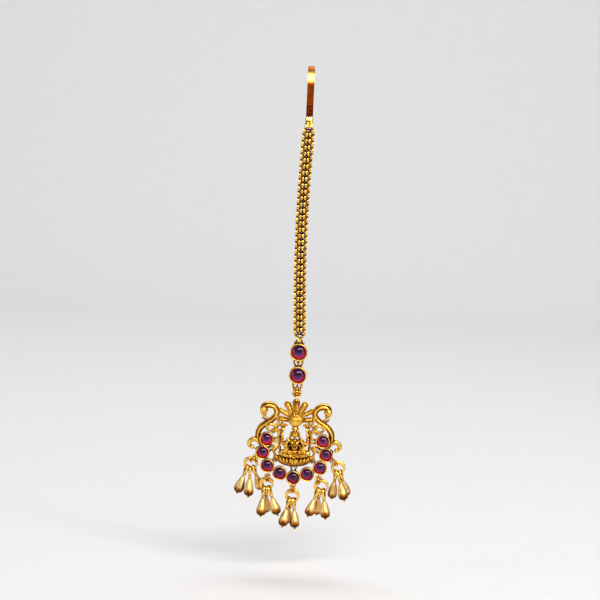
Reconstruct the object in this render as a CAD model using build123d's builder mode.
"""Maang tikka: a hair hook, two fine chain strands, two stone settings and an openwork pendant.

The jewel hangs as it is worn: +Z is up, the front faces -Y, and the origin is inside the top
of the hook's bend, midway between its legs, the place that a hair or a rod holds it by. All
sizes are in millimetres.
"""

import os
from math import acos, asin, atan2, cos, degrees, hypot, pi, radians, sin, tan

from build123d import *

# ---------------------------------------------------------------- driving dimensions

FIT = 0.04  # clearance of a stone in its seat
HANG_GAP = 0.05  # clearance where one ring hangs in another

# hook
HOOK_WIDTH = 2.2
HOOK_THICKNESS = 0.9
HOOK_CORNER = 0.35  # corner radius, as a share of the thickness
HOOK_GAP = 4.6  # inside width between the legs
HOOK_SHOULDER_RADIUS = 7.0  # the front leg leans back along this radius
HOOK_SHOULDER_TURN = 40  # degrees
HOOK_FRONT_LENGTH = 15.1
HOOK_BACK_LENGTH = 10.5
HOOK_TIP_FLARE = 25  # degrees
HOOK_TIP_RADIUS = 4.0
HOOK_EYE_RADIUS = 1.15
HOOK_EYE_WIRE = 0.3
HOOK_EYE_DROP = 0.8  # eye centre below the leg

JEWEL_Y = -(HOOK_GAP + HOOK_THICKNESS) / 2  # the middle plane of everything below the hook

# chain strands
STRAND_DIAMETER = 1.9
STRAND_SPACING = 2.0
CHAIN_TOP_Z = -18.95
CHAIN_BOTTOM_Z = -84.9
CHAIN_BOW = [(-32.0, -0.50), (-46.6, -0.85), (-60.0, -0.88), (-74.0, -0.52)]  # z, x

# rings that hold the strands
TOP_RING_RADIUS = 1.25
TOP_RING_WIRE = 0.25
END_RING_RADIUS = 0.78
END_RING_WIRE = 0.2
RING_SEAT_SPREAD = 0.3  # the two rings lie this far each side of the middle, in one eye

# the two large settings
SETTING_RADIUS = 2.9
SETTING_STONE_RADIUS = 2.3
SETTING_DEPTH = 1.8
SETTING_BACK = 0.3  # behind the middle plane
UPPER_SETTING_Z = -90.9
LOWER_SETTING_Z = -98.5
SETTING_EYE_RADIUS = 0.95
SETTING_EYE_WIRE = 0.25
SETTING_RIM_ROUND = 0.25
SETTING_STONE_HEIGHT = 1.5
EYE_BALL = 0.42  # the two balls beside the upper setting's eye
EYE_BALL_X = 1.25
STONE_GIRDLE = 0.35  # share of a stone's height below its dome

# link rings behind the settings, and the rosette connector
LINK_RADIUS = 1.5
LINK_WIRE = 0.3
LINK_Y = JEWEL_Y + 0.75
UPPER_LINK_Z = -94.4
LOWER_LINK_Z = -102.1
LINK_EYE_RADIUS = 0.68
LINK_EYE_WIRE = 0.27
ROSETTE_Z = -104.6
ROSETTE_DISC = 0.95
ROSETTE_BALL_CIRCLE = 1.0
ROSETTE_BALL = 0.42
ROSETTE_BALLS = 6
ROSETTE_THICKNESS = 0.7
ROSETTE_BACK = 0.3  # back of the disc, behind the middle plane
RING_HOLE = 0.42  # hole that the jump ring passes
JUMP_RING_Z = -106.02
JUMP_RING_RADIUS = 1.3
JUMP_RING_WIRE = 0.22

# pendant: heights are above the middle of its lowest stone
PENDANT_Z = -132.3
PENDANT_BACK = 0.9  # back of the bezels, behind the middle plane
BEZEL_RADIUS = 2.38
BEZEL_DEPTH = 2.1
STONE_RADIUS = 1.85
STONE_HEIGHT = 1.25
SEAT_DEPTH = 0.9
PLATE_BACK = 0.6
PLATE_THICKNESS = 1.2
DOME_HEIGHT = 18.5
HALO_RADIUS = 2.65
CROWN_RADIUS = 1.5
PETAL_BACK = 0.35
PETAL_THICKNESS = 0.7
TRACERY_BACK = 0.5
TRACERY_THICKNESS = 1.0
SCROLL_BACK = 0.8
SCROLL_THICKNESS = 1.65
STEM_WIDTH = 0.9  # from a bezel to the eye under it
STEM_OVERLAP = 0.5  # the stem runs this far past the eye's wire

# drops
DROP_RING_RADIUS = 1.925
DROP_RING_WIRE = 0.525
SMALL_RING_RADIUS = 1.0
SMALL_RING_WIRE = 0.22
SMALL_RING_TOP = DROP_RING_WIRE + 2 * HANG_GAP + SMALL_RING_WIRE  # above the drop ring's wire
DROP_PIVOT = SMALL_RING_TOP - 2 * SMALL_RING_RADIUS
DROP_EYE_WIRE = 0.14
HANGER_EYE_WIRE = 0.28
HANGER_EYE_RADIUS = DROP_RING_WIRE + 3 * HANG_GAP + HANGER_EYE_WIRE
FLOWER_BACK = -0.75  # the hanger's flower lies in front of the drop ring
FLOWER_THICKNESS = 0.6
FLOWER_DISC = 0.55
FLOWER_LOBE = 0.38
FLOWER_LOBES = 4
FLOWER_CIRCLE = 0.65
CAP_RADIUS = 0.7
CAP_HALF_HEIGHT = 0.34
NECK_GAP = 0.05  # between the cap and the neck
DROP_RADIUS = 1.6
DROP_LENGTH = 6.0
DROP_NECK = 0.38
END_BALL = 0.42
END_BALL_SINK = 0.7  # share of its radius that stands clear of the belly

# ---------------------------------------------------------------- tables

# one side of the stone ring, from its end down to the stone beside the lowest one
SIDE_STONES = [  # x, height
    (9.15, 12.4),
    (10.3, 7.95),
    (8.55, 3.6),
    (4.45, 1.3),
]
PETALS = [  # root x, root height, tip x, tip height, width
    (0.9, 21.0, 3.03, 24.4, 1.8),
    (2.0, 20.1, 5.38, 22.2, 1.5),
    (2.4, 18.9, 5.47, 19.25, 1.3),
]
TOP_PETAL = (0.0, 20.8, 0.0, 25.8, 2.15)
CLUSTERS = [  # name, hanger x, hanger height, ring x, ring height, bezel x, bezel height
    ("outer_left", -13.0, 5.95, -14.05, 3.9, -10.3, 7.95),
    ("inner_left", -8.24, -0.1, -8.6, -2.6, -8.55, 3.6),
    ("centre", 0.0, -3.35, 0.0, -6.1, 0.0, 0.0),
    ("inner_right", 8.24, -0.1, 9.3, -2.6, 8.55, 3.6),
    ("outer_right", 13.0, 5.95, 14.55, 3.7, 10.3, 7.95),
]
DROPS = [  # cluster, place, seat angle on the ring, hanging angle, tilt to the back; degrees
    ("outer_left", "a", -40, -18, 2),
    ("outer_left", "b", -2, -1, -10),
    ("outer_left", "c", 38, 18, 26),
    ("inner_left", "a", -25, -4, -12),
    ("inner_left", "b", 5, 0, 22),
    ("inner_left", "c", 33, 20, -8),
    ("centre", "a", -34, -12, -16),
    ("centre", "b", -6, -12, 20),
    ("centre", "c", 20, 4, -8),
    ("inner_right", "a", -38, -18, -8),
    ("inner_right", "b", -12, -5, 22),
    ("inner_right", "c", 25, 7, -10),
    ("outer_right", "a", -22, -6, 10),
    ("outer_right", "b", 3, 16, -16),
    ("outer_right", "c", 28, 17, 20),
]

# routes of the openwork, as x and height on the right side, each with its width
SCROLLS = [
    ([(12.1, 12.5), (11.4, 15.9), (9.1, 17.8), (7.0, 19.4), (6.1, 21.0), (6.9, 22.8),
      (8.7, 23.5), (10.5, 23.05), (11.0, 21.7)], 1.7),  # neck
    ([(10.7, 22.0), (10.6, 21.4)], 2.3),  # head
    ([(10.5, 21.2), (9.9, 19.9)], 1.0),  # beak
    ([(10.6, 10.7), (13.0, 11.9), (14.6, 10.6), (13.6, 9.2)], 1.1),  # curl beside the stones
    ([(13.3, 9.5), (13.2, 9.4)], 1.5),  # its end ball
]
TRACERY = [
    ([(3.5, 7.6), (4.75, 10.2), (4.8, 14.0), (3.9, 17.2), (2.2, 18.6)], 1.0),  # arch
    ([(9.5, 17.4), (8.6, 15.3), (7.1, 15.9), (6.5, 14.5), (4.9, 14.2)], 1.0),  # C-scroll
    ([(7.4, 12.2), (4.7, 12.3)], 0.9),
    ([(8.2, 9.2), (4.4, 10.4)], 0.9),
    ([(6.9, 4.6), (6.1, 7.4)], 1.0),
    ([(6.1, 7.4), (8.2, 8.0)], 0.8),
    ([(5.9, 17.0), (3.9, 17.0)], 0.8),
    ([(5.6, 17.0), (6.3, 20.4)], 0.8),
    ([(0.65, 4.4), (0.65, 2.0)], 0.9),
]
# the seat's half outline as x and height, and its depth
SEAT_TOP = (6.2, 7.2)
SEAT_SIDE = (5.4, 5.2)
SEAT_FOOT = (2.4, 3.9)
SEAT_THICKNESS = 2.2
# the figure in steps: route, width, back and depth
FIGURE_STEPS = [
    ([(-3.9, 8.0), (3.9, 8.0)], 2.1, 0.4, 2.15),  # folded legs
    ([(0, 8.4), (0, 12.0)], 2.6, 0.35, 1.9),  # body
    ([(-1.7, 12.4), (1.7, 12.4)], 1.5, 0.3, 1.65),  # shoulders
    ([(0, 12.6), (0, 13.6)], 1.0, 0.25, 1.3),  # neck
    ([(0, 15.0), (0, 16.8)], 1.8, 0.25, 1.3),  # crown
]
HEAD = (0.0, 14.2, -0.5)  # x, height, y from the middle plane
HEAD_RADIUS = 1.15
ARMS = [
    ([(2.0, 12.6), (3.7, 11.2), (4.0, 14.0)], 1.0),  # raised
    ([(4.0, 14.0), (3.7, 16.6)], 1.3),  # lotus in the raised hand
    ([(2.0, 12.3), (3.1, 10.9), (2.9, 9.4)], 1.0),  # lowered
]
ARM_BACK = 0.2
ARM_THICKNESS = 1.4

# ---------------------------------------------------------------- helpers


def facing(x, y, z):
    """A plane that faces the front, with its own x and y along +X and +Z."""
    return Plane(origin=(x, y, z), x_dir=(1, 0, 0), z_dir=(0, -1, 0))


def at(x, height, y=0.0):
    """A point of the pendant: height above its lowest stone, y from the middle plane."""
    return (x, JEWEL_Y + y, PENDANT_Z + height)


def corner_radii(points, share=0.45):
    """The largest arc that each inner corner of a route has room for."""
    radii = []
    for before, here, after in zip(points, points[1:], points[2:]):
        run_in = Vector(*here) - Vector(*before)
        run_out = Vector(*after) - Vector(*here)
        turn = radians(run_in.get_angle(run_out))
        radii.append(share * min(run_in.length, run_out.length) / tan(turn / 2))
    return radii


def ring_frame(cluster, seat_angle):
    """The middle of a drop ring's wire at an angle from its lowest point."""
    _, _, _, ring_x, ring_height, _, _ = cluster
    angle = radians(seat_angle)
    x = ring_x + DROP_RING_RADIUS * sin(angle)
    return at(x, ring_height - DROP_RING_RADIUS * cos(angle))


def hang_frame(drop):
    """Where a drop hangs: its own -Z points down the drop, from the drop ring's wire."""
    cluster = next(row for row in CLUSTERS if row[0] == drop[0])
    _, _, seat_angle, hanging_angle, tilt = drop
    seat = Location(ring_frame(cluster, seat_angle))
    return seat * Location((0, 0, 0), (0, -hanging_angle, 0)) * Location((0, 0, 0), (tilt, 0, 0))


def save(part, name):
    part.label = name
    export_step(part, f"parts/{name}.step")


# ---------------------------------------------------------------- hook and chain


def make_hook():
    bend = (HOOK_GAP + HOOK_THICKNESS) / 2
    turn = radians(HOOK_SHOULDER_TURN)
    crown_radius = (2 * bend - HOOK_SHOULDER_RADIUS * (1 - cos(turn))) / (1 + cos(turn))
    crown_z = HOOK_THICKNESS / 2 - crown_radius
    shoulder_z = crown_z - (HOOK_SHOULDER_RADIUS - crown_radius) * sin(turn)
    with BuildPart() as hook:
        with BuildLine(Plane.YZ) as route:
            front = Line((-bend, -HOOK_FRONT_LENGTH), (-bend, shoulder_z))
            shoulder = JernArc(front @ 1, (0, 1), HOOK_SHOULDER_RADIUS, -HOOK_SHOULDER_TURN)
            over = JernArc(shoulder @ 1, shoulder % 1, crown_radius, HOOK_SHOULDER_TURN - 180)
            back = Line(over @ 1, (bend, -HOOK_BACK_LENGTH))
            JernArc(start=back @ 1, tangent=(0, -1), radius=HOOK_TIP_RADIUS, arc_size=HOOK_TIP_FLARE)
        with BuildSketch(Plane(origin=(0, -bend, -HOOK_FRONT_LENGTH), x_dir=(1, 0, 0), z_dir=(0, 0, 1))):
            RectangleRounded(HOOK_WIDTH, HOOK_THICKNESS, HOOK_THICKNESS * HOOK_CORNER)
        sweep(path=route.line)
        with Locations(Location((0, JEWEL_Y, -HOOK_FRONT_LENGTH - HOOK_EYE_DROP), (90, 0, 0))):
            Torus(HOOK_EYE_RADIUS, HOOK_EYE_WIRE)
    return hook.part


def make_strand_ring(side, seat_z, strand_z_step, radius, wire):
    """A ring from an eye in the middle to the end of one strand, seen edge-on from the front."""
    lean = asin((STRAND_SPACING / 2 - RING_SEAT_SPREAD) / (2 * radius))
    centre_x = side * (RING_SEAT_SPREAD + radius * sin(lean))
    centre_z = seat_z + strand_z_step * radius * cos(lean)
    turn = 90 + side * strand_z_step * degrees(lean)
    with BuildPart() as ring:
        with Locations(Location((centre_x, JEWEL_Y, centre_z), (0, turn, 0))):
            Torus(radius, wire)
    return ring.part


def make_strand(side):
    """One strand's outer form: a tube along its true, slightly bowed route."""
    middle = [(CHAIN_TOP_Z, 0.0)] + CHAIN_BOW + [(CHAIN_BOTTOM_Z, 0.0)]
    points = [(x + side * STRAND_SPACING / 2, JEWEL_Y, z) for z, x in middle]
    print("strand arcs", [round(radius) for radius in corner_radii(points)])
    with BuildPart() as strand:
        with BuildLine() as route:
            FilletPolyline(*points, radius=corner_radii(points))
        with BuildSketch(Plane(origin=route.line @ 0, z_dir=route.line % 0)):
            Circle(STRAND_DIAMETER / 2)
        sweep(path=route.line)
    print("strand length", round(route.wires()[0].length, 2))
    return strand.part


# ---------------------------------------------------------------- settings and connector


def make_stone(x, back_y, z, radius, height):
    """A cabochon that stands on its flat back, domed to the front."""
    girdle = height * STONE_GIRDLE
    dome = height - girdle
    dome_radius = (radius**2 + dome**2) / (2 * dome)
    half_way = asin(radius / dome_radius) / 2
    crown_point = (dome_radius * sin(half_way), dome_radius * (1 - cos(half_way)) - height)
    with BuildPart() as stone:
        with BuildSketch(Plane(origin=(x, back_y, z), x_dir=(1, 0, 0), z_dir=(0, 0, 1))):
            with BuildLine():
                Polyline((0, 0), (radius, 0), (radius, -girdle))
                ThreePointArc((radius, -girdle), crown_point, (0, -height))
                Line((0, -height), (0, 0))
            make_face()
        revolve(axis=Axis((x, back_y, z), (0, -1, 0)))
    return stone.part


def make_setting(z, top_eye):
    """A large bezel cup; its eyes are soldered to the rim and to the back."""
    with BuildPart() as setting:
        with BuildSketch(facing(0, JEWEL_Y + SETTING_BACK, z)):
            Circle(SETTING_RADIUS)
        extrude(amount=SETTING_DEPTH)
        rim = setting.faces().sort_by(Axis.Y)[0].edges()
        fillet(rim, SETTING_RIM_ROUND)
        with BuildSketch(facing(0, JEWEL_Y + SETTING_BACK - SETTING_DEPTH, z)):
            Circle(SETTING_STONE_RADIUS + FIT)
        extrude(amount=-SEAT_DEPTH, mode=Mode.SUBTRACT)
        if top_eye:
            eye_z = z + SETTING_RADIUS + SETTING_EYE_RADIUS
            with Locations(Location((0, JEWEL_Y, eye_z), (90, 0, 0))):
                Torus(SETTING_EYE_RADIUS, SETTING_EYE_WIRE)
            balls_z = z + SETTING_RADIUS
            with Locations((-EYE_BALL_X, JEWEL_Y, balls_z), (EYE_BALL_X, JEWEL_Y, balls_z)):
                Sphere(EYE_BALL)
        else:
            link_eye(UPPER_LINK_Z - LINK_RADIUS)
        link_eye((UPPER_LINK_Z if top_eye else LOWER_LINK_Z) + LINK_RADIUS)
    return setting.part


def link_eye(z):
    """Adds a small eye round a link ring's wire, at its top or its bottom."""
    with Locations(Location((0, LINK_Y, z), (0, 90, 0))):
        Torus(LINK_EYE_RADIUS, LINK_EYE_WIRE)


def make_link(z):
    with BuildPart() as link:
        with Locations(Location((0, LINK_Y, z), (90, 0, 0))):
            Torus(LINK_RADIUS, LINK_WIRE)
    return link.part


def make_connector():
    """A rosette of small balls with a bail at its back that hangs in the lower link ring."""
    with BuildPart() as connector:
        with BuildSketch(facing(0, JEWEL_Y + ROSETTE_BACK, ROSETTE_Z)):
            Circle(ROSETTE_DISC)
        extrude(amount=ROSETTE_THICKNESS)
        with BuildSketch(facing(0, JEWEL_Y, ROSETTE_Z)):
            with PolarLocations(ROSETTE_BALL_CIRCLE, ROSETTE_BALLS, start_angle=180 / ROSETTE_BALLS):
                Circle(ROSETTE_BALL)
        extrude(amount=ROSETTE_THICKNESS / 2, both=True)
        link_eye(LOWER_LINK_Z - LINK_RADIUS)
        hole_z = JUMP_RING_Z + JUMP_RING_RADIUS
        with BuildSketch(facing(0, JEWEL_Y, hole_z)):
            Circle(RING_HOLE)
        extrude(amount=ROSETTE_THICKNESS, both=True, mode=Mode.SUBTRACT)
    return connector.part


def make_jump_ring():
    with BuildPart() as ring:
        with Locations(Location((0, JEWEL_Y, JUMP_RING_Z), (0, 90, 0))):
            Torus(JUMP_RING_RADIUS, JUMP_RING_WIRE)
    return ring.part


# ---------------------------------------------------------------- pendant


def add_petal(root_x, root_height, tip_x, tip_height, width):
    length = hypot(tip_x - root_x, tip_height - root_height)
    angle = degrees(atan2(tip_height - root_height, tip_x - root_x))
    middle = ((root_x + tip_x) / 2, (root_height + tip_height) / 2)
    with BuildSketch(facing(0, JEWEL_Y + PETAL_BACK, PENDANT_Z)) as outline:
        with Locations(middle):
            Ellipse(length / 2, width / 2, rotation=angle)
    extrude(outline.sketch, amount=PETAL_THICKNESS)


def add_crown():
    """Petals, the halo behind the figure's head, and the round boss on it."""
    add_petal(*TOP_PETAL)
    for root_x, root_height, tip_x, tip_height, width in PETALS:
        for side in (-1, 1):
            add_petal(side * root_x, root_height, side * tip_x, tip_height, width)
    with BuildSketch(facing(*at(0, DOME_HEIGHT, PLATE_BACK))) as halo:
        Circle(HALO_RADIUS)
    extrude(halo.sketch, amount=PLATE_THICKNESS)
    with Locations(at(0, DOME_HEIGHT, PLATE_BACK - PLATE_THICKNESS)):
        Sphere(CROWN_RADIUS)


def add_strokes(strokes, back, thickness):
    """Adds flat openwork: strokes of one height and depth, each a route and a width."""
    with BuildSketch(facing(*at(0, 0, back))) as openwork:
        for points, width in strokes:
            with BuildLine():
                if len(points) == 2:
                    Line(*points)
                else:
                    FilletPolyline(*points, radius=corner_radii(points))
            trace(line_width=width)
            with Locations(points[0], points[-1]):
                Circle(width / 2)
    extrude(openwork.sketch, amount=thickness)


def both_sides(strokes):
    """The strokes of the right side and their mirror images."""
    strokes_of_side = [
        [([(side * x, height) for x, height in route], width) for route, width in strokes] for side in (-1, 1)
    ]
    return strokes_of_side[0] + strokes_of_side[1]


def hanger_stroke(cluster):
    """The stem from a bezel's rim to the eye round the drop ring."""
    _, x, height, _, _, bezel_x, bezel_height = cluster
    eye_x, eye_height, outward = hanger_eye(cluster)
    reach = hypot(x - bezel_x, height - bezel_height)
    near = (BEZEL_RADIUS - STEM_WIDTH / 2) / reach
    start = (bezel_x + (x - bezel_x) * near, bezel_height + (height - bezel_height) * near)
    solder = HANGER_EYE_RADIUS + STEM_OVERLAP
    return [start, (eye_x + solder * sin(outward), eye_height + solder * cos(outward))], STEM_WIDTH


def add_figure():
    """A seated figure with raised hands on a lotus seat, as a plain relief."""
    seat_x, seat_height = SEAT_TOP
    side_x, side_height = SEAT_SIDE
    foot_x, foot_height = SEAT_FOOT
    with BuildSketch(facing(*at(0, 0, PLATE_BACK))) as seat:
        with BuildLine():
            right = ThreePointArc(SEAT_TOP, SEAT_SIDE, SEAT_FOOT)
            low = Line(right @ 1, (-foot_x, foot_height))
            left = ThreePointArc(low @ 1, (-side_x, side_height), (-seat_x, seat_height))
            Line(left @ 1, SEAT_TOP)
        make_face()
    extrude(seat.sketch, amount=SEAT_THICKNESS)
    for route, width, back, thickness in FIGURE_STEPS:
        add_strokes([(route, width)], back, thickness)
    with Locations(at(*HEAD)):
        Sphere(HEAD_RADIUS)
    add_strokes(both_sides(ARMS), ARM_BACK, ARM_THICKNESS)


def add_bezels(stone_places):
    """Bezel cups, soldered to each other where they touch."""
    for x, height in stone_places:
        with BuildSketch(facing(*at(x, height, PENDANT_BACK))) as cup:
            Circle(BEZEL_RADIUS)
        extrude(cup.sketch, amount=BEZEL_DEPTH)


def cut_seats(stone_places):
    for x, height in stone_places:
        with BuildSketch(facing(*at(x, height, PENDANT_BACK - BEZEL_DEPTH))) as seat:
            Circle(STONE_RADIUS + FIT)
        extrude(seat.sketch, amount=-SEAT_DEPTH, mode=Mode.SUBTRACT)


def hanger_eye(cluster):
    """The eye's middle, on the drop ring's wire, and its direction from the ring's middle."""
    _, x, height, ring_x, ring_height, _, _ = cluster
    outward = atan2(x - ring_x, height - ring_height)
    eye_x = ring_x + DROP_RING_RADIUS * sin(outward)
    return eye_x, ring_height + DROP_RING_RADIUS * cos(outward), outward


def add_hanger(cluster):
    """The eye round the drop ring's wire, and the small flower in front of it."""
    _, x, height, _, _, _, _ = cluster
    eye_x, eye_height, outward = hanger_eye(cluster)
    with Locations(Location(at(eye_x, eye_height), (0, 90 + degrees(outward), 0))):
        Torus(HANGER_EYE_RADIUS, HANGER_EYE_WIRE)
    with BuildSketch(facing(*at(x, height, FLOWER_BACK))) as flower:
        Circle(FLOWER_DISC)
        with PolarLocations(FLOWER_CIRCLE, FLOWER_LOBES, start_angle=180 / FLOWER_LOBES):
            Circle(FLOWER_LOBE)
    extrude(flower.sketch, amount=FLOWER_THICKNESS)


def make_pendant_frame():
    stone_places = [(side * x, height) for x, height in SIDE_STONES for side in (-1, 1)] + [(0.0, 0.0)]
    tracery = both_sides(TRACERY) + [hanger_stroke(row) for row in CLUSTERS]
    with BuildPart() as pendant_frame:
        add_bezels(stone_places)
        add_strokes(tracery, TRACERY_BACK, TRACERY_THICKNESS)
        add_strokes(both_sides(SCROLLS), SCROLL_BACK, SCROLL_THICKNESS)
        add_crown()
        add_figure()
        for cluster in CLUSTERS:
            add_hanger(cluster)
        cut_seats(stone_places)
        with BuildSketch(facing(0, JEWEL_Y, JUMP_RING_Z - JUMP_RING_RADIUS)):
            Circle(RING_HOLE)
        extrude(amount=PLATE_THICKNESS, both=True, mode=Mode.SUBTRACT)
    return pendant_frame.part


# ---------------------------------------------------------------- drops


def make_drop_ring(cluster):
    _, _, _, ring_x, ring_height, _, _ = cluster
    with BuildPart() as ring:
        with Locations(Location(at(ring_x, ring_height), (90, 0, 0))):
            Torus(DROP_RING_RADIUS, DROP_RING_WIRE)
    return ring.part


def make_small_ring(drop):
    frame = hang_frame(drop) * Location((0, 0, SMALL_RING_TOP - SMALL_RING_RADIUS), (0, 90, 0))
    with BuildPart() as ring:
        with Locations(frame):
            Torus(SMALL_RING_RADIUS, SMALL_RING_WIRE)
    return ring.part


def make_drop_shape():
    """Eye, cap bead, teardrop and end ball, hanging down from the eye's middle."""
    eye_radius = SMALL_RING_WIRE + HANG_GAP + DROP_EYE_WIRE
    cap_z = -(eye_radius + CAP_HALF_HEIGHT - DROP_EYE_WIRE / 2)
    neck_z = cap_z - CAP_HALF_HEIGHT - NECK_GAP
    belly_z = neck_z - DROP_LENGTH + DROP_RADIUS
    bottom = belly_z - DROP_RADIUS
    flat = CAP_RADIUS - CAP_HALF_HEIGHT
    # the flank leaves the neck and meets the round belly without a corner
    reach = hypot(DROP_NECK, neck_z - belly_z)
    slope = atan2(neck_z - belly_z, DROP_NECK) - acos(DROP_RADIUS / reach)
    touch = (DROP_RADIUS * cos(slope), belly_z + DROP_RADIUS * sin(slope))
    low_side = (DROP_RADIUS * cos(pi / 4), belly_z - DROP_RADIUS * sin(pi / 4))
    with BuildPart() as shape:
        with BuildSketch(Plane.XZ):
            with BuildLine():
                Line((0, cap_z + CAP_HALF_HEIGHT), (flat, cap_z + CAP_HALF_HEIGHT))
                ThreePointArc(
                    (flat, cap_z + CAP_HALF_HEIGHT), (CAP_RADIUS, cap_z), (flat, cap_z - CAP_HALF_HEIGHT)
                )
                Polyline((flat, cap_z - CAP_HALF_HEIGHT), (DROP_NECK, neck_z), touch)
                ThreePointArc(touch, low_side, (0, bottom))
                Line((0, bottom), (0, cap_z + CAP_HALF_HEIGHT))
            make_face()
        revolve(axis=Axis.Z)
        with Locations((0, 0, bottom - END_BALL * END_BALL_SINK)):
            Sphere(END_BALL)
        with Locations(Location((0, 0, 0), (90, 0, 0))):
            Torus(eye_radius, DROP_EYE_WIRE)
    return shape.part


def make_drop(drop, shape):
    with BuildPart() as placed:
        with Locations(hang_frame(drop) * Location((0, 0, DROP_PIVOT))):
            add(shape)
    return placed.part


# ---------------------------------------------------------------- the whole jewel

os.makedirs("parts", exist_ok=True)

save(make_hook(), "hook")
hook_eye_inside = -HOOK_FRONT_LENGTH - HOOK_EYE_DROP - HOOK_EYE_RADIUS + HOOK_EYE_WIRE
top_seat_z = hook_eye_inside + TOP_RING_WIRE + 6 * HANG_GAP
setting_eye_inside = UPPER_SETTING_Z + SETTING_RADIUS + 2 * SETTING_EYE_RADIUS - SETTING_EYE_WIRE
end_seat_z = setting_eye_inside - END_RING_WIRE - HANG_GAP
for side, word in ((-1, "left"), (1, "right")):
    save(make_strand_ring(side, top_seat_z, -1, TOP_RING_RADIUS, TOP_RING_WIRE), f"top_ring_{word}")
    save(make_strand(side), f"chain_{word}")
    save(make_strand_ring(side, end_seat_z, 1, END_RING_RADIUS, END_RING_WIRE), f"end_ring_{word}")

stone_back_y = JEWEL_Y + SETTING_BACK - SETTING_DEPTH + SEAT_DEPTH - FIT
save(make_setting(UPPER_SETTING_Z, True), "setting_upper")
save(make_stone(0, stone_back_y, UPPER_SETTING_Z, SETTING_STONE_RADIUS, SETTING_STONE_HEIGHT), "stone_upper")
save(make_link(UPPER_LINK_Z), "link_upper")
save(make_setting(LOWER_SETTING_Z, False), "setting_lower")
save(make_stone(0, stone_back_y, LOWER_SETTING_Z, SETTING_STONE_RADIUS, SETTING_STONE_HEIGHT), "stone_lower")
save(make_link(LOWER_LINK_Z), "link_lower")
save(make_connector(), "connector")
save(make_jump_ring(), "jump_ring")

save(make_pendant_frame(), "pendant_frame")
pendant_stone_y = JEWEL_Y + PENDANT_BACK - BEZEL_DEPTH + SEAT_DEPTH - FIT
for index, (x, height) in enumerate(SIDE_STONES, start=1):
    for side, word in ((-1, "left"), (1, "right")):
        place = at(side * x, height)
        stone = make_stone(place[0], pendant_stone_y, place[2], STONE_RADIUS, STONE_HEIGHT)
        save(stone, f"stone_{word}_{index}")
save(make_stone(0, pendant_stone_y, PENDANT_Z, STONE_RADIUS, STONE_HEIGHT), "stone_centre")

for cluster in CLUSTERS:
    save(make_drop_ring(cluster), f"drop_ring_{cluster[0]}")
drop_shape = make_drop_shape()
for drop in DROPS:
    save(make_small_ring(drop), f"small_ring_{drop[0]}_{drop[1]}")
    save(make_drop(drop, drop_shape), f"drop_{drop[0]}_{drop[1]}")
